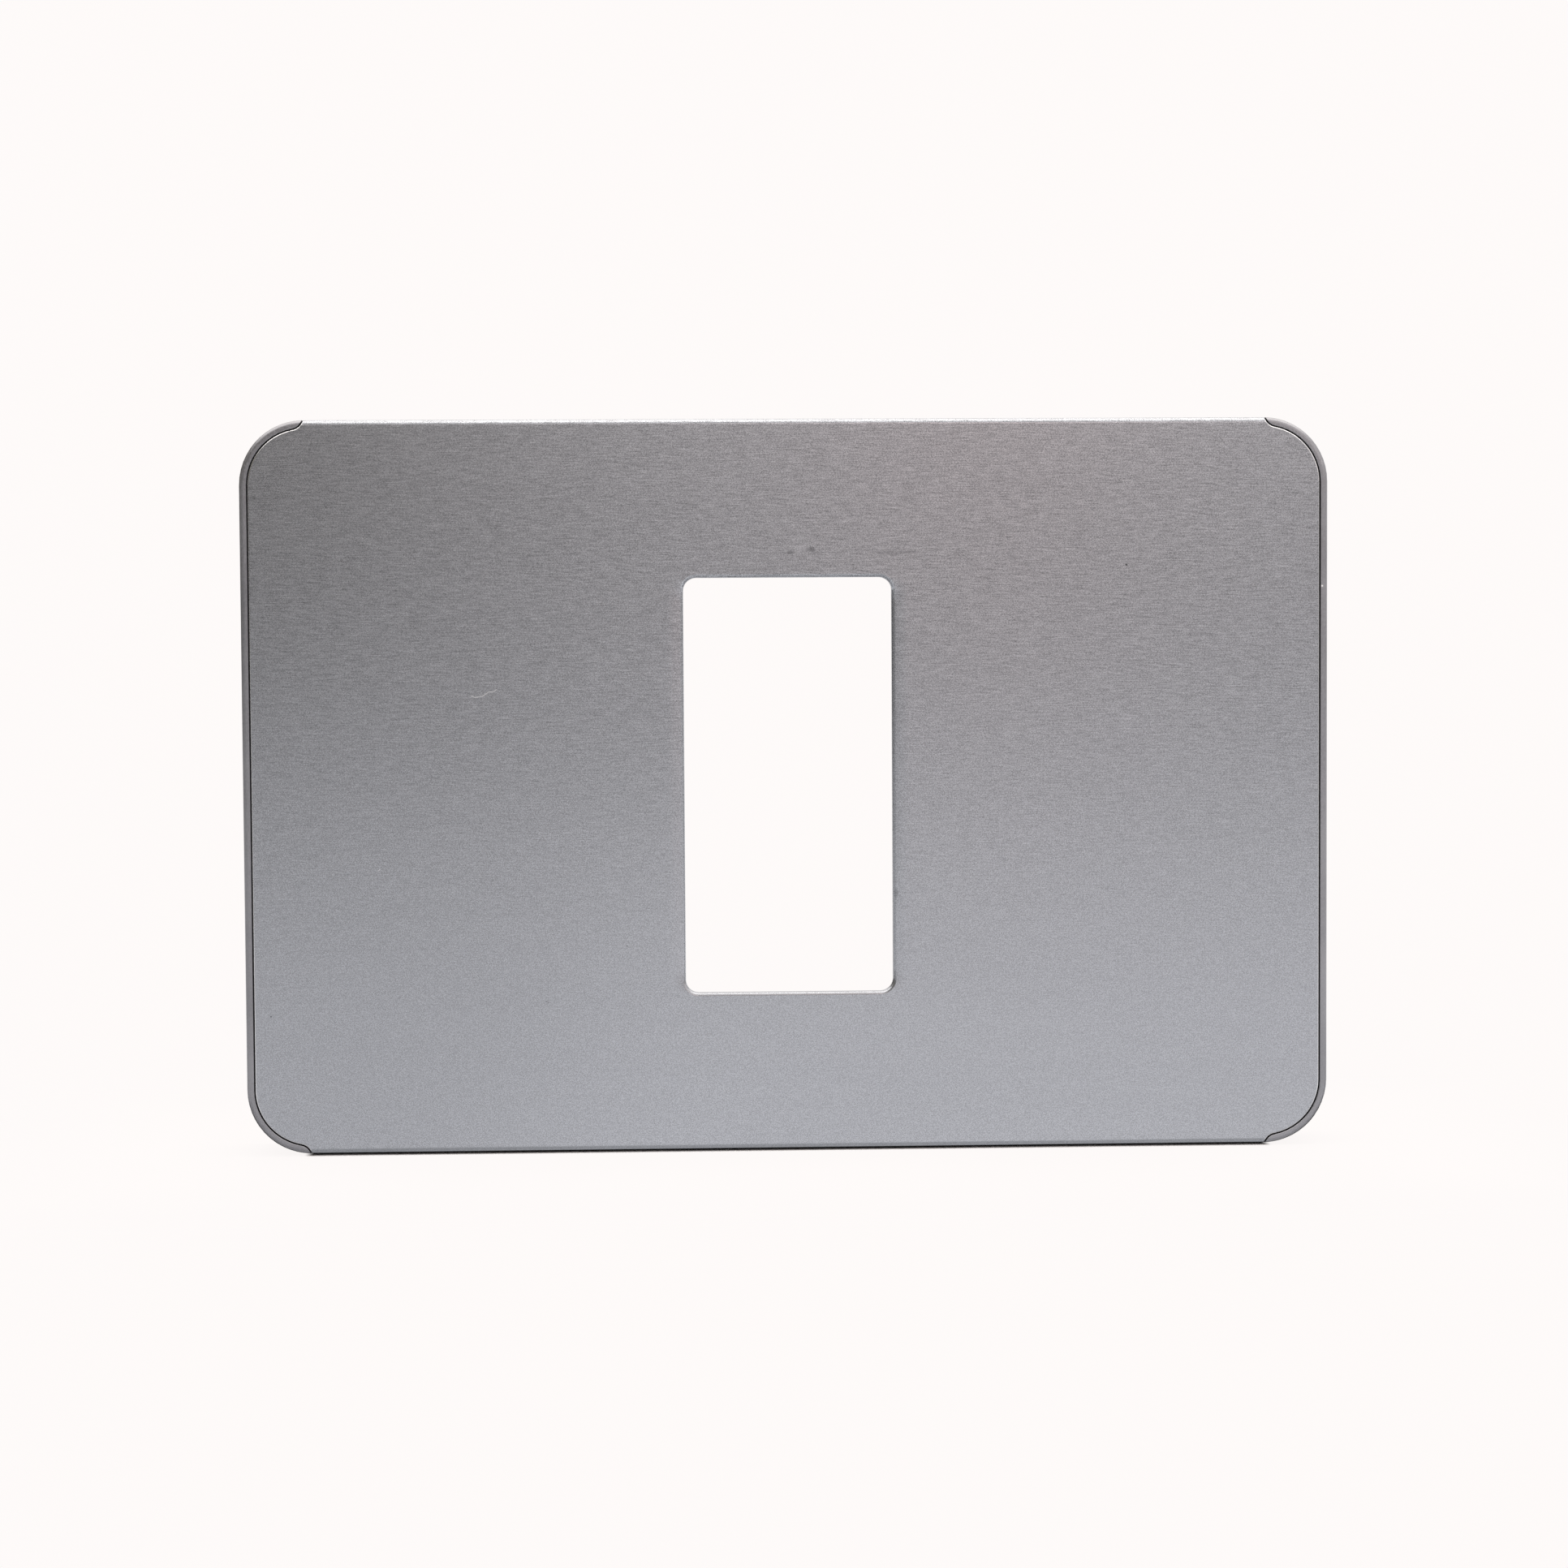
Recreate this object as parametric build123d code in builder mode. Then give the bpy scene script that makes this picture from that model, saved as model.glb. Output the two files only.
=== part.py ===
from build123d import *
import os
from math import sqrt

# Switch plate: a brushed aluminium face sheet folded over a moulded plastic back frame.
# Millimetres. X runs along the plate, Z is up and the front faces -Y.
# The origin is the plate's centre on the wall, and a height is a distance out from the wall.

# Plate outline
plate_width = 118.0
plate_height = 79.4
plate_depth = 9.0
plate_corner_radius = 7.0

# Face sheet
sheet_thickness = 0.5
sheet_inside_bend = 0.12
sheet_edge_round = 0.15
relief_radius = 1.4
window_width = 22.6
window_height = 45.1
window_corner_radius = 1.4
lip_inside_bend = 0.1
lip_outside_bend = 0.35
lip_depth = 0.9

# Tabs crimped over the frame's foot
tab_count = 3
tab_inset = 12.0
tab_width = 8.0
tab_bite = 0.8
tab_recess = 0.3

# Fit of the sheet in the frame
sheet_gap = 0.15
flange_clearance = 0.1
lip_clearance = 0.15
tab_clearance = 0.1

# Back frame
rim_width = 0.8
rim_step = 0.05
rim_edge_round = 0.5
rim_inner_ease = 0.06
foot_edge_break = 0.3
foot_height = 1.25
wall_thickness = 1.6
floor_thickness = 1.2
collar_thickness = 1.2
collar_rear = 3.6
rib_thickness = 1.0
rib_depth = 2.5
cross_rib_spacing = 24.0
long_rib_spacing = 76.0
collar_rib_spacing = 16.0

# Snap hooks that grip the mounting strap
hook_spacing = 52.0
hook_grip = 58.4
hook_width = 8.0
hook_thickness = 1.5
hook_rear = 1.0
hook_root_round = 0.8
tooth_reach = 1.0
tooth_flat = 0.4
tooth_catch = 2.8
shutoff_clearance = 0.3

# Small moulded details of the frame
ejector_radius = 2.0
ejector_rise = 0.2
ejector_spacing_x = 90.0
ejector_spacing_z = 56.0
pry_length = 10.0
pry_depth = 1.0
pry_reach = 0.9

# Levels above the wall
sheet_back = plate_depth - sheet_thickness
rim_front = plate_depth - rim_step
floor_back = sheet_back - floor_thickness
flange_rear = foot_height + sheet_gap
tab_front = tab_recess + sheet_thickness
lip_rear = plate_depth - lip_depth

# Shared positions in the plane of the plate
corner_centre_x = plate_width / 2 - plate_corner_radius
corner_centre_z = plate_height / 2 - plate_corner_radius
face_corner_radius = plate_corner_radius - rim_width - sheet_gap
flange_length = plate_width - 2 * plate_corner_radius
sheet_outside_bend = sheet_inside_bend + sheet_thickness
flange_inner = plate_height / 2 - sheet_thickness
channel_depth = sheet_thickness + flange_clearance
wall_outer = plate_height / 2 - channel_depth
wall_inner = wall_outer - wall_thickness
side_inner = plate_width / 2 - wall_thickness
cavity_corner_radius = plate_corner_radius - wall_thickness
tab_pitch = (flange_length - 2 * tab_inset) / (tab_count - 1)
tab_positions = [index * tab_pitch - flange_length / 2 + tab_inset for index in range(tab_count)]
tab_end = flange_inner - tab_bite
seat_edge_round = sheet_inside_bend + flange_clearance
channel_length = flange_length + 2 * sheet_gap
opening_width = window_width + 2 * (sheet_thickness + lip_clearance)
opening_height = window_height + 2 * (sheet_thickness + lip_clearance)
opening_corner_radius = window_corner_radius + sheet_thickness + lip_clearance
collar_width = opening_width + 2 * collar_thickness
collar_height = opening_height + 2 * collar_thickness
collar_corner_radius = opening_corner_radius + collar_thickness
hook_face = hook_grip / 2
slot_depth = tooth_reach + shutoff_clearance
pocket_width = tab_width + 2 * sheet_gap
pocket_depth = sheet_thickness + tab_bite + tab_clearance


def notched_outline(grow):
    """Sheet outline: rounded corners that meet the folded edges in a small relief curve."""
    corner_arc = face_corner_radius + grow
    relief_arc = relief_radius - grow
    relief_x = flange_length / 2 + relief_radius
    relief_rise = sqrt((corner_arc + relief_arc) ** 2 - (relief_x - corner_centre_x) ** 2)
    relief_z = corner_centre_z + relief_rise
    tangent = corner_arc / (corner_arc + relief_arc)
    side = (corner_centre_x + corner_arc, corner_centre_z)
    meeting = (
        corner_centre_x + (relief_x - corner_centre_x) * tangent,
        corner_centre_z + relief_rise * tangent,
    )
    flange_end = (flange_length / 2 + grow, relief_z)
    over = plate_height / 2 + plate_corner_radius
    with BuildSketch() as outline:
        with BuildLine():
            Line((0, 0), (side[0], 0))
            Line((side[0], 0), side)
            RadiusArc(side, meeting, -corner_arc)
            RadiusArc(meeting, flange_end, relief_arc)
            Line(flange_end, (flange_end[0], over))
            Line((flange_end[0], over), (0, over))
            Line((0, over), (0, 0))
        make_face()
        mirror(about=Plane.YZ)
        mirror(about=Plane.XZ)
    return outline.sketch


# Face sheet: a long channel section, trimmed to the notched outline
with BuildPart() as face_plate:
    with BuildSketch(Plane.YZ):
        with BuildLine():
            FilletPolyline(
                (-flange_rear, plate_height / 2),
                (-plate_depth, plate_height / 2),
                (-plate_depth, -plate_height / 2),
                (-flange_rear, -plate_height / 2),
                radius=sheet_outside_bend,
            )
            offset(amount=sheet_thickness, side=Side.LEFT)
        make_face()
    extrude(amount=plate_width / 2, both=True)
    with BuildSketch(Plane.XZ):
        add(notched_outline(0))
    extrude(amount=plate_depth, mode=Mode.INTERSECT)

    # Rounded front edges at the sides and corners, and flanges trimmed square behind the face
    fillet(face_plate.faces().sort_by(Axis.Y)[0].edges().filter_by(Axis.Z), sheet_edge_round)
    with BuildSketch(Plane.XZ):
        with GridLocations(flange_length + plate_corner_radius, 0, 2, 1):
            Rectangle(plate_corner_radius, plate_height)
    extrude(amount=sheet_back, mode=Mode.SUBTRACT)

    # Tabs on the flanges' rear edges, bent in behind the frame's foot
    with BuildSketch(*[Plane.YZ.offset(position) for position in tab_positions]):
        with BuildLine():
            FilletPolyline(
                (-flange_rear - sheet_outside_bend, plate_height / 2),
                (-tab_recess, plate_height / 2),
                (-tab_recess, tab_end),
                radius=sheet_outside_bend,
            )
            offset(amount=sheet_thickness, side=Side.RIGHT)
        make_face()
        mirror(about=Plane.XZ)
    extrude(amount=tab_width / 2, both=True)

    # Lip round the window, turned back from the face
    with BuildSketch(Plane.XZ.offset(lip_rear)):
        RectangleRounded(
            window_width + 2 * sheet_thickness,
            window_height + 2 * sheet_thickness,
            window_corner_radius + sheet_thickness,
        )
    extrude(amount=lip_depth - sheet_thickness)
    sheet_sides = face_plate.faces().filter_by(Plane.XZ).sort_by(SortBy.AREA)[-2:].sort_by(Axis.Y)
    fillet(sheet_sides[-1].inner_wires()[0].edges(), lip_inside_bend)
    with BuildSketch(Plane.XZ):
        RectangleRounded(window_width, window_height, window_corner_radius)
    extrude(amount=plate_depth, mode=Mode.SUBTRACT)
    fillet(face_plate.faces().sort_by(Axis.Y)[0].inner_wires()[0].edges(), lip_outside_bend)

# Back frame: a solid outline, recessed for the sheet and hollowed from the rear
with BuildPart() as back_frame:
    with BuildSketch(Plane.XZ):
        RectangleRounded(plate_width, plate_height, plate_corner_radius)
    extrude(amount=rim_front)
    fillet(back_frame.faces().sort_by(Axis.Y)[0].edges(), rim_edge_round)
    chamfer(back_frame.faces().sort_by(Axis.Y)[-1].edges(), foot_edge_break)

    # Recess for the sheet's face, and channels for its folded edges
    with BuildSketch(Plane.XZ.offset(sheet_back)):
        add(notched_outline(sheet_gap))
    extrude(amount=sheet_thickness, mode=Mode.SUBTRACT)
    with BuildSketch(Plane.XZ.offset(rim_front - rim_inner_ease)):
        add(notched_outline(sheet_gap))
    with BuildSketch(Plane.XZ.offset(rim_front + rim_inner_ease)):
        add(notched_outline(sheet_gap + 2 * rim_inner_ease))
    loft(ruled=True, mode=Mode.SUBTRACT)
    with BuildSketch(Plane.XZ.offset(foot_height)):
        Rectangle(channel_length, plate_height)
        Rectangle(channel_length, 2 * wall_outer, mode=Mode.SUBTRACT)
    extrude(amount=plate_depth, mode=Mode.SUBTRACT)
    seat = back_frame.faces().filter_by(Plane.XZ).sort_by(SortBy.AREA)[-2:].sort_by(Axis.Y)[0]
    fillet(seat.edges().filter_by(Axis.X), seat_edge_round)

    # Hollow behind the floor
    with BuildSketch(Plane.XZ):
        RectangleRounded(2 * side_inner, 2 * wall_inner, cavity_corner_radius)
    extrude(amount=floor_back, mode=Mode.SUBTRACT)

    # Collar, ribs and ejector pads on the floor's rear side
    with BuildSketch(Plane.XZ.offset(floor_back)):
        RectangleRounded(collar_width, collar_height, collar_corner_radius)
    extrude(amount=collar_rear - floor_back)
    with BuildSketch(Plane.XZ.offset(floor_back)):
        with GridLocations(0, cross_rib_spacing, 1, 2):
            Rectangle(2 * side_inner, rib_thickness)
        with GridLocations(long_rib_spacing, 0, 2, 1):
            Rectangle(rib_thickness, 2 * wall_inner)
        with GridLocations(collar_rib_spacing, 0, 2, 1):
            Rectangle(rib_thickness, 2 * wall_inner)
    extrude(amount=-rib_depth)
    with BuildSketch(Plane.XZ.offset(floor_back)):
        with GridLocations(ejector_spacing_x, ejector_spacing_z, 2, 2):
            Circle(ejector_radius)
    extrude(amount=-ejector_rise)

    # Snap hooks: arms with an inward tooth, and a slot in the floor under each tooth
    with BuildSketch(*[Plane.YZ.offset(side * hook_spacing / 2) for side in (-1, 1)]):
        with BuildLine():
            Polyline(
                (-floor_back, hook_face),
                (-tooth_catch, hook_face),
                (-tooth_catch, hook_face - tooth_reach),
                (-tooth_catch + tooth_flat, hook_face - tooth_reach),
                (-hook_rear, hook_face),
                (-hook_rear, hook_face + hook_thickness),
                (-floor_back, hook_face + hook_thickness),
                close=True,
            )
        make_face()
        mirror(about=Plane.XZ)
    extrude(amount=hook_width / 2, both=True)
    hook_roots = back_frame.edges(Select.LAST).filter_by(Axis.X).group_by(Axis.Y)[0]
    fillet(hook_roots.filter_by(lambda root: abs(root.center().Z) > hook_face), hook_root_round)
    with BuildSketch(Plane.XZ.offset(floor_back)):
        with GridLocations(hook_spacing, 2 * hook_face - slot_depth, 2, 2):
            Rectangle(hook_width, slot_depth)
    extrude(amount=floor_thickness, mode=Mode.SUBTRACT)

    # Window opening through floor and collar, eased at the front for the lip's bend
    with BuildSketch(Plane.XZ):
        RectangleRounded(opening_width, opening_height, opening_corner_radius)
    extrude(amount=sheet_back, mode=Mode.SUBTRACT)
    seat = back_frame.faces().filter_by(Plane.XZ).sort_by(SortBy.AREA)[-2:].sort_by(Axis.Y)[0]
    chamfer(seat.inner_wires().sort_by(SortBy.LENGTH)[-1].edges(), lip_inside_bend)

    # Pockets in the foot for the crimped tabs, and slots at the ends to lever the plate off
    with BuildSketch(Plane.XZ):
        with GridLocations(tab_pitch, plate_height - pocket_depth, tab_count, 2):
            Rectangle(pocket_width, pocket_depth)
    extrude(amount=tab_front + tab_clearance, mode=Mode.SUBTRACT)
    with BuildSketch(Plane.XZ):
        with GridLocations(tab_pitch, plate_height - channel_depth, tab_count, 2):
            Rectangle(pocket_width, channel_depth)
    extrude(amount=foot_height, mode=Mode.SUBTRACT)
    with BuildSketch(Plane.XZ):
        with GridLocations(plate_width - pry_reach, 0, 2, 1):
            Rectangle(pry_reach, pry_length)
    extrude(amount=pry_depth, mode=Mode.SUBTRACT)

os.makedirs("parts", exist_ok=True)
face_plate.part.label = "face_plate"
export_step(face_plate.part, "parts/face_plate.step")
back_frame.part.label = "back_frame"
export_step(back_frame.part, "parts/back_frame.step")
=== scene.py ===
import math
import bpy
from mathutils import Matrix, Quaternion, Vector


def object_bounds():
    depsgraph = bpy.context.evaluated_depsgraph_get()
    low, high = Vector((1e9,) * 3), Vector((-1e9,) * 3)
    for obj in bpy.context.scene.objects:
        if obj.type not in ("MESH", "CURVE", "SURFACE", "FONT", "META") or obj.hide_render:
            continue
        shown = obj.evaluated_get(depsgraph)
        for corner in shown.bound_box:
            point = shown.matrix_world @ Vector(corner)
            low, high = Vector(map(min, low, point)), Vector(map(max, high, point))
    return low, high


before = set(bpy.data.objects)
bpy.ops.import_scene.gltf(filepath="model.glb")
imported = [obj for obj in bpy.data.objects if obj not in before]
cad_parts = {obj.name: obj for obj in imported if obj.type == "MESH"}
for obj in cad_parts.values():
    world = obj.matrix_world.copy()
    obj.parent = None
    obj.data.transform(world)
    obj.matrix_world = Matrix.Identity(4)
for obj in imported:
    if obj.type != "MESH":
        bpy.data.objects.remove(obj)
cad_low, cad_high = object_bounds()

# Blender works in metres, and sizes below are written in millimetres
MM = 0.001

# Camera: where the photograph was taken from, seen from the middle of the plate's face
IMAGE_PIXELS = 1932
FOCAL_PIXELS = 3500
SENSOR_WIDTH = 36.0
CAMERA_AZIMUTH = -1.94
CAMERA_ELEVATION = 2.33
CAMERA_ROLL = 0.35
CAMERA_DISTANCE = 308.6
CAMERA_CLIP_START = 10.0
AIM_ACROSS = -0.50
AIM_UP = 0.15

# Noise patterns: their middle value, and the range that most of a pattern lies in
PATTERN_MIDDLE = 0.5
PATTERN_LOW = 0.3
PATTERN_HIGH = 0.7

# Brushed aluminium
METAL_DARK = (0.125, 0.130, 0.138, 1.0)
METAL_LIGHT = (0.711, 0.736, 0.783, 1.0)
METAL_ROUGHNESS_LOW = 0.235
METAL_ROUGHNESS_HIGH = 0.265
METAL_ANISOTROPY = 0.5
BRUSHING_STRENGTH = 0.05
BRUSHING_DEPTH = 0.01

# Grain, streaks and bands of the brushing, with sizes in (x, y, z)
GRAIN_SIZE = (0.102, 0.102, 0.102)
GRAIN_TURN = 32.0
STREAK_SIZE = (1.6, 0.100, 0.100)
LONG_STREAK_SIZE = (6.0, 0.110, 0.110)
STREAK_SHIFT = 6.3
LONG_STREAK_SHARE = 0.35
BAND_SIZE = (45.0, 3.0, 3.0)
BAND_DETAIL = 2.0
BAND_DEPTH = 0.04

# Depth of grain and streaks at the lower and the upper end of the heights where it changes: deeper towards
# the top as painted sheen, for how the light there shows up the brushing
PAINTED_SHEEN_LOWER_END = -30.0
PAINTED_SHEEN_UPPER_END = 25.0
GRAIN_LOW = 0.46
GRAIN_HIGH = 0.98
STREAK_LOW = 0.06
STREAK_HIGH = 0.48

# Bare cut edge of the sheet, at its sides and corners: lighter bare metal with a painted highlight along it
BARE_EDGE_AND_HIGHLIGHT_COLOUR = (0.900, 0.905, 0.915, 1.0)
CUT_EDGE_FLAT = 0.985
CUT_EDGE_TURNED = 0.900
FOLD_HALF_LENGTH = 52.1

# Slight dip of the sheet beside the window's long edges
WINDOW_HALF_WIDTH = 11.3
DIP_WIDTH = 1.8
DIP_DEPTH = 0.11
DIP_CURVE = 2.0
DIP_HALF_LENGTH = 20.0
DIP_FADE = 2.5

# Marks on the face, each at (x, z) millimetres from the plate's middle
FIBRE = [
    (-34.27, 9.91),
    (-33.83, 9.76),
    (-33.07, 9.88),
    (-32.37, 10.35),
    (-31.93, 10.32),
    (-31.55, 10.60),
]
FIBRE_HALF_WIDTH = 0.08
FIBRE_COLOUR = (0.700, 0.710, 0.730, 1.0)
NICK = [(-44.50, -8.93), (-44.32, -8.81)]
NICK_HALF_WIDTH = 0.07
STROKE_CORE = 0.3

# Dark spots: x, z, half length, half height and depth of tone
SPOTS = [
    (36.89, 23.75, 0.15, 0.14, 0.85),
    (-56.26, -24.66, 0.12, 0.12, 0.55),
    (-26.45, -23.30, 0.11, 0.09, 0.35),
    (-26.27, -23.44, 0.11, 0.09, 0.35),
    (-17.67, -17.34, 0.12, 0.10, 0.35),
    (0.36, 25.24, 0.55, 0.24, 0.38),
    (2.65, 25.57, 0.45, 0.30, 0.38),
    (11.55, 25.20, 3.20, 0.28, 0.20),
    (11.66, -11.84, 0.25, 0.60, 0.30),
]
SPOT_COLOUR = (0.040, 0.042, 0.048, 1.0)
SPOT_CORE = 0.4
SPOT_EDGE = 1.2

# Silver grey moulded plastic
PLASTIC_DARK = (0.270, 0.271, 0.288, 1.0)
PLASTIC_LIGHT = (0.358, 0.359, 0.380, 1.0)
PLASTIC_METALLIC = 0.85
PLASTIC_ROUGHNESS_LOW = 0.30
PLASTIC_ROUGHNESS_HIGH = 0.42
SKIN_SIZE = (0.18, 0.18, 0.18)
SKIN_DETAIL = 3.0
SKIN_DETAIL_SHARE = 0.6
SKIN_TONE_SHARE = 0.5
SKIN_STRENGTH = 0.3
SKIN_DEPTH = 0.02
CLOUD_SIZE = (9.0, 9.0, 9.0)
CLOUD_DETAIL = 2.0

# Painted shade in the plastic's crevices, found with an ambient occlusion node
CREVICE_SHADE_COLOUR = (0.010, 0.010, 0.011, 1.0)
CREVICE_REACH = 0.5
CREVICE_SHUT = 0.20
CREVICE_OPEN = 0.60
CREVICE_SAMPLES = 8

# Pale speck on the front of the right rim, at (x, z) millimetres from the plate's middle
RIM_SPECK = (58.36, 21.34)
RIM_SPECK_RADIUS = 0.13
RIM_SPECK_BACK = -8.0
RIM_SPECK_COLOUR = (0.960, 0.960, 0.960, 1.0)

# Surround and floor
BACKGROUND = (0.990, 0.958, 0.948, 1.0)
FLOOR_ALBEDO = (0.900, 0.885, 0.880, 1.0)
FLOOR_HALF_SIZE = 6000.0
FLOOR_DROP = 0.22
CONTACT_EDGE = 0.25
CONTACT_END = 7.0
CONTACT_FADE = 1.0
SHADOW_SHARE = 0.06
SHADOW_REACH = 40.0

# Studio's front wall, seen only in reflections
WALL_RADIUS = 900.0
WALL_HEIGHT = 600.0
WALL_SEGMENTS = 60
WALL_LEFT_END = -160.0
WALL_RIGHT_END = 90.0
WALL_LEFT_COLOUR = (0.190, 0.170, 0.140, 1.0)
WALL_RIGHT_COLOUR = (1.190, 1.090, 1.060, 1.0)
WALL_SHADE_START = -335.0
WALL_SHADE_END = 70.0
WALL_FOOT_LEVEL = 0.29
WALL_FOOT_START = 72.0
WALL_FOOT_END = 312.0
WARM_PATCH_COLOUR = (0.200, 0.030, 0.000, 1.0)
WARM_PATCH_ACROSS = 115.0
WARM_PATCH_HALF_WIDTH = 95.0

# Glowing card on the floor, seen only in reflections; its glow dims where the plate stands as painted
# contact shade
FLOOR_CARD_HALF_WIDTH = 500.0
FLOOR_CARD_FRONT = -600.0
FLOOR_CARD_BACK = 100.0
FLOOR_CARD_LIFT = 0.06
FLOOR_CARD_INSET = 0.5
FLOOR_CARD_CONTACT = 0.2
FLOOR_CARD_COLOUR = (0.985, 0.968, 0.985, 1.0)
FLOOR_CARD_BLEND = 0.5
FLOOR_CARD_DARK = 0.56
FLOOR_CARD_STEEP = 0.52
FLOOR_CARD_SHALLOW = 0.76
FLOOR_CARD_LEFT_LEVEL = 0.98
FLOOR_CARD_RIGHT_LEVEL = 1.12
FLOOR_CARD_SHADE_START = -50.0
FLOOR_CARD_SHADE_END = -5.0

# Overhead panel lamp
TOP_PANEL_SIZE = (1500.0, 1000.0)
TOP_PANEL_HEIGHT = 700.0
TOP_PANEL_BACK = 50.0
TOP_PANEL_LEVEL = 1.5
TOP_PANEL_COLOUR = (1.0, 0.930, 0.860)


def add_node(tree, kind, inputs=None, **settings):
    """A node with its settings, and with each input set to a value or linked to a socket."""
    made = tree.nodes.new(kind)
    for name, value in settings.items():
        setattr(made, name, value)
    for name, value in (inputs or {}).items():
        if isinstance(value, bpy.types.NodeSocket):
            tree.links.new(value, made.inputs[name])
        else:
            made.inputs[name].default_value = value
    return made


def new_material(name):
    """An empty node material, its node tree and its output node."""
    material = bpy.data.materials.new(name)
    material.use_nodes = True
    tree = material.node_tree
    tree.nodes.clear()
    return material, tree, tree.nodes.new("ShaderNodeOutputMaterial")


def math_node(tree, operation, *values):
    """The result of a Math node."""
    return add_node(tree, "ShaderNodeMath", dict(enumerate(values)), operation=operation).outputs[0]


def vector_node(tree, operation, *vectors, output="Vector"):
    """The result of a Vector Math node."""
    made = add_node(tree, "ShaderNodeVectorMath", dict(enumerate(vectors)), operation=operation)
    return made.outputs[output]


def scaled(tree, vector, factor):
    """A vector times one factor."""
    made = add_node(tree, "ShaderNodeVectorMath", {0: vector, "Scale": factor}, operation="SCALE")
    return made.outputs["Vector"]


def ramp(tree, value, start, end, low=0.0, high=1.0):
    """value mapped from start..end to low..high, smoothly and held at the ends."""
    made = add_node(
        tree,
        "ShaderNodeMapRange",
        {"Value": value, "From Min": start, "From Max": end, "To Min": low, "To Max": high},
        interpolation_type="SMOOTHSTEP",
    )
    return made.outputs["Result"]


def outside(tree, coordinate, low, high):
    """How far a coordinate lies outside low..high, in millimetres."""
    offset = math_node(tree, "ABSOLUTE", math_node(tree, "SUBTRACT", coordinate, (low + high) / 2))
    return math_node(tree, "MAXIMUM", math_node(tree, "SUBTRACT", offset, (high - low) / 2), 0.0)


def mix_colour(tree, factor, first, second):
    """A colour between first and second."""
    made = add_node(tree, "ShaderNodeMix", data_type="RGBA")
    sockets = [socket for socket in made.inputs if socket.enabled]
    for socket, value in zip(sockets, (factor, first, second)):
        if isinstance(value, bpy.types.NodeSocket):
            tree.links.new(value, socket)
        else:
            socket.default_value = value
    return [socket for socket in made.outputs if socket.enabled][0]


def millimetres(tree):
    """The point on the object in millimetres."""
    return scaled(tree, add_node(tree, "ShaderNodeTexCoord").outputs["Object"], 1 / MM)


def coordinates(tree, point):
    """The X, Y and Z of a point."""
    return add_node(tree, "ShaderNodeSeparateXYZ", {0: point}).outputs


def noise(tree, point, size, detail=0.0, detail_share=0.5):
    """Noise whose grains are size = (x, y, z) millimetres."""
    scale = tuple(1 / side for side in size)
    made = add_node(
        tree,
        "ShaderNodeTexNoise",
        {
            "Vector": vector_node(tree, "MULTIPLY", point, scale),
            "Scale": 1.0,
            "Detail": detail,
            "Roughness": detail_share,
        },
    )
    return made.outputs["Fac"]


def spot_mask(tree, point, centre, half_length, half_height):
    """1 inside a soft-edged ellipse on the front and 0 outside it."""
    from_centre = vector_node(tree, "SUBTRACT", point, (centre[0], 0.0, centre[1]))
    in_radii = vector_node(tree, "MULTIPLY", from_centre, (1 / half_length, 0.0, 1 / half_height))
    distance = vector_node(tree, "LENGTH", in_radii, output="Value")
    return ramp(tree, distance, SPOT_CORE, SPOT_EDGE, 1.0, 0.0)


def stroke_mask(tree, point, start, end, half_width):
    """1 along a short straight stroke on the face and 0 away from it."""
    along = Vector((end[0] - start[0], 0.0, end[1] - start[1]))
    flat = vector_node(tree, "MULTIPLY", point, (1.0, 0.0, 1.0))
    from_start = vector_node(tree, "SUBTRACT", flat, (start[0], 0.0, start[1]))
    share = vector_node(tree, "DOT_PRODUCT", from_start, along / along.length_squared, output="Value")
    share = math_node(tree, "MINIMUM", math_node(tree, "MAXIMUM", share, 0.0), 1.0)
    distance = vector_node(tree, "DISTANCE", from_start, scaled(tree, along, share), output="Value")
    return ramp(tree, distance, STROKE_CORE * half_width, half_width, 1.0, 0.0)


def marked(tree, point, colour):
    """The metal's colour with the specks, smudges and the fibre that lie on it."""
    for across, up, half_length, half_height, depth in SPOTS:
        mask = spot_mask(tree, point, (across, up), half_length, half_height)
        colour = mix_colour(tree, math_node(tree, "MULTIPLY", mask, depth), colour, SPOT_COLOUR)
    strokes = [(start, end, FIBRE_HALF_WIDTH) for start, end in zip(FIBRE, FIBRE[1:])]
    strokes.append((*NICK, NICK_HALF_WIDTH))
    pale = 0.0
    for start, end, half_width in strokes:
        pale = math_node(tree, "MAXIMUM", pale, stroke_mask(tree, point, start, end, half_width))
    return mix_colour(tree, pale, colour, FIBRE_COLOUR)


def bare_edge_and_highlight_mask(tree, parts):
    """1 on the rounded edge of the sheet beyond the ends of its folds, and 0 elsewhere: where the lighter
    bare metal and its painted highlight go.
    """
    normal = add_node(tree, "ShaderNodeTexCoord").outputs["Normal"]
    facing = math_node(tree, "ABSOLUTE", coordinates(tree, normal)["Y"])
    turned = ramp(tree, facing, CUT_EDGE_TURNED, CUT_EDGE_FLAT, 1.0, 0.0)
    from_middle = math_node(tree, "ABSOLUTE", parts["X"])
    beyond_fold = math_node(tree, "GREATER_THAN", from_middle, FOLD_HALF_LENGTH)
    return math_node(tree, "MULTIPLY", turned, beyond_fold)


def window_dip(tree, parts):
    """1 at the window's long edges, falling to 0 over the dip's width and before its ends."""
    beside = outside(tree, parts["X"], -WINDOW_HALF_WIDTH, WINDOW_HALF_WIDTH)
    share = math_node(tree, "SUBTRACT", 1.0, math_node(tree, "DIVIDE", beside, DIP_WIDTH))
    dip = math_node(tree, "POWER", math_node(tree, "MAXIMUM", share, 0.0), DIP_CURVE)
    beyond = outside(tree, parts["Z"], -DIP_HALF_LENGTH, DIP_HALF_LENGTH)
    return math_node(tree, "MULTIPLY", dip, ramp(tree, beyond, 0.0, DIP_FADE, 1.0, 0.0))


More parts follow.
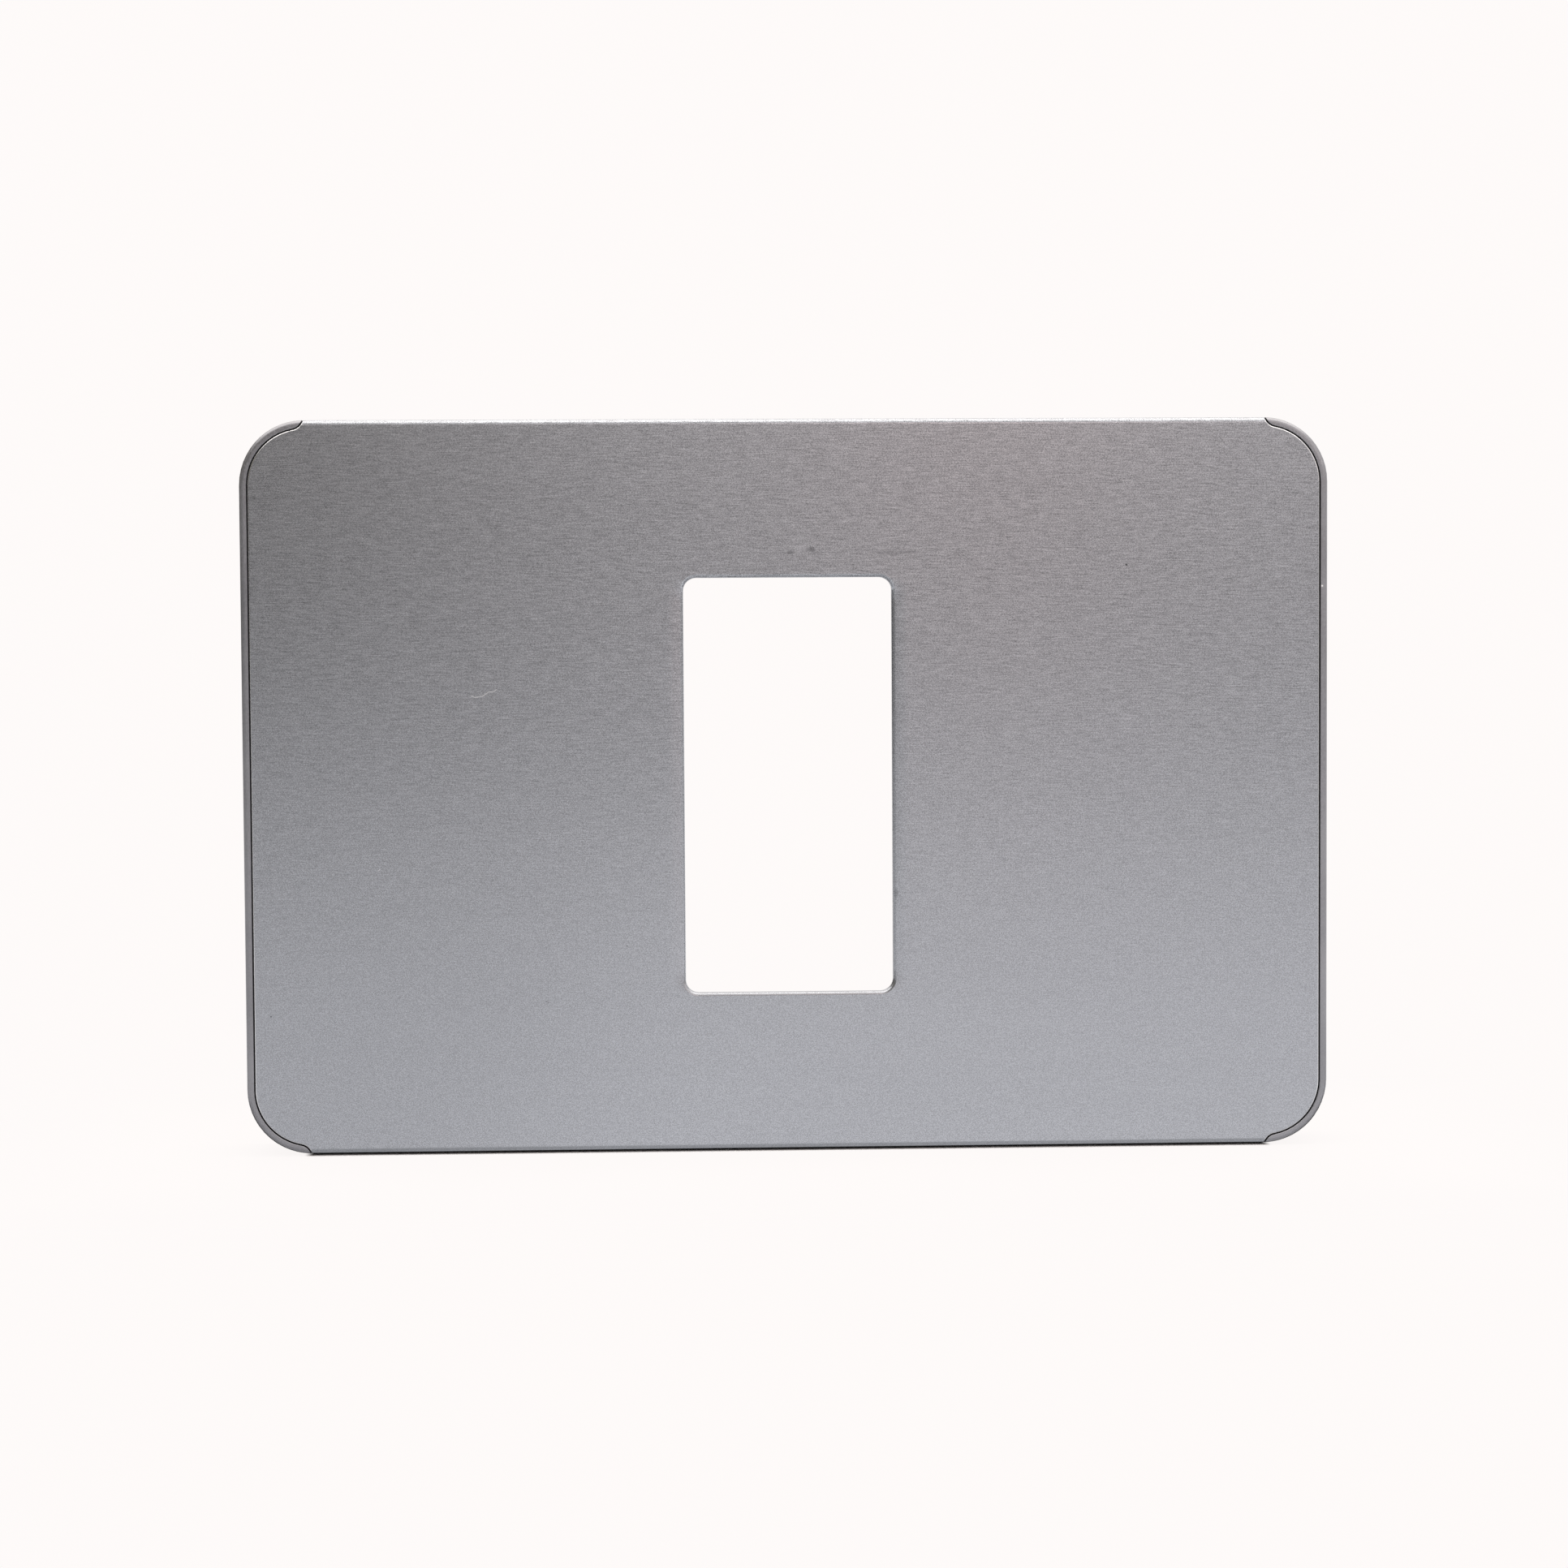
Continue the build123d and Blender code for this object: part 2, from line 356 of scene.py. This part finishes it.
def grain_noise(tree, point):
    """The fine grain, on a turned grid that doesn't line up with the streaks."""
    turned = add_node(
        tree,
        "ShaderNodeVectorRotate",
        {"Vector": point, "Angle": math.radians(GRAIN_TURN)},
        rotation_type="Y_AXIS",
    )
    return noise(tree, turned.outputs[0], GRAIN_SIZE)


def row_shifted(tree, parts):
    """The point moved along the plate by its height, so that streaks in neighbouring rows don't line up."""
    across = math_node(tree, "MULTIPLY_ADD", parts["Z"], STREAK_SHIFT, parts["X"])
    shifted = add_node(tree, "ShaderNodeCombineXYZ", {"X": across, "Y": parts["Y"], "Z": parts["Z"]})
    return shifted.outputs[0]


def moved_by(tree, shade, pattern, depth):
    """A shade made lighter or darker by a pattern."""
    from_middle = math_node(tree, "SUBTRACT", pattern, PATTERN_MIDDLE)
    return math_node(tree, "MULTIPLY_ADD", from_middle, depth, shade)


def brushed_aluminium():
    """Aluminium brushed along the plate: grain, short and long streaks, wide bands and small marks, with
    painted sheen in the upper grain and a painted highlight on the cut edge.
    """
    material, tree, output = new_material("brushed_aluminium")
    point = millimetres(tree)
    parts = coordinates(tree, point)
    height = parts["Z"]
    in_rows = row_shifted(tree, parts)
    grain = grain_noise(tree, point)
    streak = noise(tree, in_rows, STREAK_SIZE)
    long_streak = noise(tree, in_rows, LONG_STREAK_SIZE)
    band = noise(tree, point, BAND_SIZE, BAND_DETAIL)
    # Painted sheen: the grain and streaks deepen towards the top, where the light shows up the brushing
    grain_depth = ramp(tree, height, PAINTED_SHEEN_LOWER_END, PAINTED_SHEEN_UPPER_END, GRAIN_LOW, GRAIN_HIGH)
    streak_depth = ramp(tree, height, PAINTED_SHEEN_LOWER_END, PAINTED_SHEEN_UPPER_END, STREAK_LOW, STREAK_HIGH)
    long_streak_depth = math_node(tree, "MULTIPLY", streak_depth, LONG_STREAK_SHARE)
    shade = moved_by(tree, PATTERN_MIDDLE, grain, grain_depth)
    shade = moved_by(tree, shade, streak, streak_depth)
    shade = moved_by(tree, shade, long_streak, long_streak_depth)
    shade = moved_by(tree, shade, band, BAND_DEPTH)
    colour = marked(tree, point, mix_colour(tree, shade, METAL_DARK, METAL_LIGHT))
    # The cut edge: lighter bare metal, with a painted highlight on it
    colour = mix_colour(tree, bare_edge_and_highlight_mask(tree, parts), colour, BARE_EDGE_AND_HIGHLIGHT_COLOUR)
    roughness = ramp(tree, grain, PATTERN_LOW, PATTERN_HIGH, METAL_ROUGHNESS_HIGH, METAL_ROUGHNESS_LOW)
    brushing = add_node(
        tree,
        "ShaderNodeBump",
        {"Height": streak, "Strength": BRUSHING_STRENGTH, "Distance": BRUSHING_DEPTH * MM},
    )
    dipped = add_node(
        tree,
        "ShaderNodeBump",
        {
            "Height": window_dip(tree, parts),
            "Strength": 1.0,
            "Distance": DIP_DEPTH * MM,
            "Normal": brushing.outputs["Normal"],
        },
        invert=True,
    )
    across = add_node(tree, "ShaderNodeTangent", direction_type="RADIAL", axis="X").outputs[0]
    shader = add_node(
        tree,
        "ShaderNodeBsdfPrincipled",
        {
            "Base Color": colour,
            "Metallic": 1.0,
            "Roughness": roughness,
            "Anisotropic": METAL_ANISOTROPY,
            "Normal": dipped.outputs["Normal"],
            "Tangent": across,
        },
    )
    tree.links.new(shader.outputs[0], output.inputs["Surface"])
    return material


def rim_speck(tree, point):
    """1 on the speck on the front of the rim and 0 elsewhere."""
    speck = spot_mask(tree, point, RIM_SPECK, RIM_SPECK_RADIUS, RIM_SPECK_RADIUS)
    in_front = math_node(tree, "LESS_THAN", coordinates(tree, point)["Y"], RIM_SPECK_BACK)
    return math_node(tree, "MULTIPLY", speck, in_front)


def moulded_plastic():
    """Silver grey plastic with the fine matt skin of a mould, and painted shade in its crevices."""
    material, tree, output = new_material("moulded_plastic")
    point = millimetres(tree)
    skin = noise(tree, point, SKIN_SIZE, SKIN_DETAIL, SKIN_DETAIL_SHARE)
    cloud = noise(tree, point, CLOUD_SIZE, CLOUD_DETAIL)
    skin_tone = math_node(tree, "MULTIPLY", skin, SKIN_TONE_SHARE)
    tone = math_node(tree, "MULTIPLY_ADD", cloud, 1 - SKIN_TONE_SHARE, skin_tone)
    colour = mix_colour(tree, ramp(tree, tone, PATTERN_LOW, PATTERN_HIGH), PLASTIC_DARK, PLASTIC_LIGHT)
    # Painted shade: the colour darkens where ambient occlusion finds surfaces close by, as in the gap
    # around the sheet
    nearness = add_node(
        tree,
        "ShaderNodeAmbientOcclusion",
        {"Distance": CREVICE_REACH * MM},
        samples=CREVICE_SAMPLES,
    )
    openness = ramp(tree, nearness.outputs["AO"], CREVICE_SHUT, CREVICE_OPEN)
    colour = mix_colour(tree, openness, CREVICE_SHADE_COLOUR, colour)
    colour = mix_colour(tree, rim_speck(tree, point), colour, RIM_SPECK_COLOUR)
    roughness = ramp(tree, skin, PATTERN_LOW, PATTERN_HIGH, PLASTIC_ROUGHNESS_LOW, PLASTIC_ROUGHNESS_HIGH)
    bump = add_node(
        tree,
        "ShaderNodeBump",
        {"Height": skin, "Strength": SKIN_STRENGTH, "Distance": SKIN_DEPTH * MM},
    )
    shader = add_node(
        tree,
        "ShaderNodeBsdfPrincipled",
        {
            "Base Color": colour,
            "Metallic": PLASTIC_METALLIC,
            "Roughness": roughness,
            "Normal": bump.outputs["Normal"],
        },
    )
    tree.links.new(shader.outputs[0], output.inputs["Surface"])
    return material


def floor_material():
    """Pale floor: shaded under and near the plate, and a plain white sweep further out."""
    material, tree, output = new_material("pale_floor")
    parts = coordinates(tree, millimetres(tree))
    along = outside(tree, parts["X"], cad_low.x / MM + CONTACT_END, cad_high.x / MM - CONTACT_END)
    through = outside(tree, parts["Y"], cad_low.y / MM, cad_high.y / MM)
    near = math_node(
        tree,
        "MAXIMUM",
        ramp(tree, along, 0.0, CONTACT_FADE, 0.0, 1 - SHADOW_SHARE),
        ramp(tree, through, 0.0, CONTACT_EDGE, 0.0, 1 - SHADOW_SHARE),
    )
    farthest = math_node(tree, "MAXIMUM", along, through)
    far = ramp(tree, farthest, CONTACT_EDGE, SHADOW_REACH, 0.0, SHADOW_SHARE)
    spread = math_node(tree, "ADD", near, far)
    diffuse = add_node(tree, "ShaderNodeBsdfDiffuse", {"Color": FLOOR_ALBEDO})
    glow = add_node(tree, "ShaderNodeEmission", {"Color": BACKGROUND, "Strength": 1.0})
    mixed = add_node(
        tree,
        "ShaderNodeMixShader",
        {0: spread, 1: diffuse.outputs[0], 2: glow.outputs[0]},
    )
    tree.links.new(mixed.outputs[0], output.inputs["Surface"])
    return material


def wall_material():
    """The studio's front wall: dim on the left and near the floor, and bright at the upper right."""
    material, tree, output = new_material("front_wall")
    parts = coordinates(tree, millimetres(tree))
    side = ramp(tree, parts["X"], WALL_SHADE_START, WALL_SHADE_END)
    colour = mix_colour(tree, side, WALL_LEFT_COLOUR, WALL_RIGHT_COLOUR)
    above_floor = math_node(tree, "SUBTRACT", parts["Z"], cad_low.z / MM)
    level = ramp(tree, above_floor, WALL_FOOT_START, WALL_FOOT_END, WALL_FOOT_LEVEL, 1.0)
    from_patch = math_node(tree, "ABSOLUTE", math_node(tree, "SUBTRACT", parts["X"], WARM_PATCH_ACROSS))
    patch = ramp(tree, from_patch, 0.0, WARM_PATCH_HALF_WIDTH, 1.0, 0.0)
    patch_level = math_node(tree, "MULTIPLY", patch, level)
    glow = add_node(tree, "ShaderNodeEmission", {"Color": colour, "Strength": level})
    warm_glow = add_node(tree, "ShaderNodeEmission", {"Color": WARM_PATCH_COLOUR, "Strength": patch_level})
    both = add_node(tree, "ShaderNodeAddShader", {0: glow.outputs[0], 1: warm_glow.outputs[0]})
    tree.links.new(both.outputs[0], output.inputs["Surface"])
    return material


def floor_card_material():
    """Pale at a shallow angle, dark from above and darkest where the plate stands, as painted contact
    shade.
    """
    material, tree, output = new_material("floor_card")
    shallow = add_node(tree, "ShaderNodeLayerWeight", {"Blend": FLOOR_CARD_BLEND}).outputs["Facing"]
    slope_level = ramp(tree, shallow, FLOOR_CARD_STEEP, FLOOR_CARD_SHALLOW, FLOOR_CARD_DARK, 1.0)
    parts = coordinates(tree, millimetres(tree))
    side_level = ramp(
        tree,
        parts["X"],
        FLOOR_CARD_SHADE_START,
        FLOOR_CARD_SHADE_END,
        FLOOR_CARD_LEFT_LEVEL,
        FLOOR_CARD_RIGHT_LEVEL,
    )
    # Painted contact shade: the glow dims under the plate, so the lower fold mirrors a dark contact
    through = outside(tree, parts["Y"], cad_low.y / MM + FLOOR_CARD_INSET, cad_high.y / MM)
    contact_shade_level = ramp(tree, through, 0.0, FLOOR_CARD_CONTACT)
    level = math_node(tree, "MULTIPLY", slope_level, side_level)
    level = math_node(tree, "MULTIPLY", level, contact_shade_level)
    glow = add_node(tree, "ShaderNodeEmission", {"Color": FLOOR_CARD_COLOUR, "Strength": level})
    tree.links.new(glow.outputs[0], output.inputs["Surface"])
    return material


def mesh_object(name, points, faces, material):
    """A mesh object from points in millimetres."""
    mesh = bpy.data.meshes.new(name)
    mesh.from_pydata([Vector(point) * MM for point in points], [], faces)
    mesh.materials.append(material)
    made = bpy.data.objects.new(name, mesh)
    bpy.context.scene.collection.objects.link(made)
    return made


def level_sheet(name, half_width, front, back, height, material):
    """A flat rectangle that lies level at a height."""
    left = -half_width
    right = half_width
    points = [(left, front, height), (right, front, height), (right, back, height), (left, back, height)]
    return mesh_object(name, points, [(0, 1, 2, 3)], material)


def build_floor():
    """A wide floor a hair's breadth under the plate's lower edge."""
    side = FLOOR_HALF_SIZE
    height = cad_low.z / MM - FLOOR_DROP
    level_sheet("floor", side, -side, side, height, floor_material())


def build_floor_card():
    """A card on the floor that shows in the metal alone."""
    height = cad_low.z / MM - FLOOR_DROP + FLOOR_CARD_LIFT
    card = level_sheet(
        "floor_card",
        FLOOR_CARD_HALF_WIDTH,
        FLOOR_CARD_FRONT,
        FLOOR_CARD_BACK,
        height,
        floor_card_material(),
    )
    card.visible_camera = False
    card.visible_diffuse = False
    card.visible_shadow = False


def build_front_wall():
    """A curved wall in front of the plate, which the metal mirrors and the camera looks through."""
    base = cad_low.z / MM - FLOOR_DROP
    points = []
    faces = []
    for step in range(WALL_SEGMENTS + 1):
        turn = math.radians(WALL_LEFT_END + (WALL_RIGHT_END - WALL_LEFT_END) * step / WALL_SEGMENTS)
        across = WALL_RADIUS * math.sin(turn)
        forward = -WALL_RADIUS * math.cos(turn)
        points += [(across, forward, base), (across, forward, base + WALL_HEIGHT)]
    for step in range(WALL_SEGMENTS):
        corner = 2 * step
        faces.append((corner, corner + 2, corner + 3, corner + 1))
    wall = mesh_object("front_wall", points, faces, wall_material())
    wall.visible_camera = False
    wall.visible_shadow = False


def build_top_panel():
    """A soft panel lamp overhead."""
    lamp = bpy.data.lights.new("top_panel", "AREA")
    lamp.shape = "RECTANGLE"
    lamp.size = TOP_PANEL_SIZE[0] * MM
    lamp.size_y = TOP_PANEL_SIZE[1] * MM
    lamp.energy = TOP_PANEL_LEVEL * math.pi * lamp.size * lamp.size_y
    lamp.color = TOP_PANEL_COLOUR
    panel = bpy.data.objects.new("top_panel", lamp)
    panel.location = (0.0, TOP_PANEL_BACK * MM, TOP_PANEL_HEIGHT * MM)
    panel.visible_camera = False
    bpy.context.scene.collection.objects.link(panel)


def build_world():
    """A plain white surround."""
    world = bpy.data.worlds.new("surround")
    world.use_nodes = True
    background = world.node_tree.nodes["Background"]
    background.inputs["Color"].default_value = BACKGROUND
    background.inputs["Strength"].default_value = 1.0
    bpy.context.scene.world = world


def build_camera():
    """The camera at the photograph's viewing angle."""
    data = bpy.data.cameras.new("camera")
    data.sensor_width = SENSOR_WIDTH
    data.lens = SENSOR_WIDTH * FOCAL_PIXELS / IMAGE_PIXELS
    data.clip_start = CAMERA_CLIP_START * MM
    camera = bpy.data.objects.new("camera", data)
    azimuth = math.radians(CAMERA_AZIMUTH)
    elevation = math.radians(CAMERA_ELEVATION)
    aim = Vector((AIM_ACROSS * MM, cad_low.y, AIM_UP * MM))
    outward = Vector((
        math.sin(azimuth) * math.cos(elevation),
        -math.cos(azimuth) * math.cos(elevation),
        math.sin(elevation),
    ))
    camera.location = aim + outward * CAMERA_DISTANCE * MM
    level = (-outward).to_track_quat("-Z", "Y")
    camera.rotation_euler = (level @ Quaternion((0, 0, 1), -math.radians(CAMERA_ROLL))).to_euler()
    bpy.context.scene.collection.objects.link(camera)
    bpy.context.scene.camera = camera


def dress(node, material):
    """Gives a CAD node its finished material."""
    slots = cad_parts[node].data.materials
    for index in range(len(slots)):
        slots[index] = material


bpy.context.scene.view_settings.view_transform = "Standard"
dress("face_plate", brushed_aluminium())
dress("back_frame", moulded_plastic())
build_floor()
build_floor_card()
build_front_wall()
build_top_panel()
build_world()
build_camera()
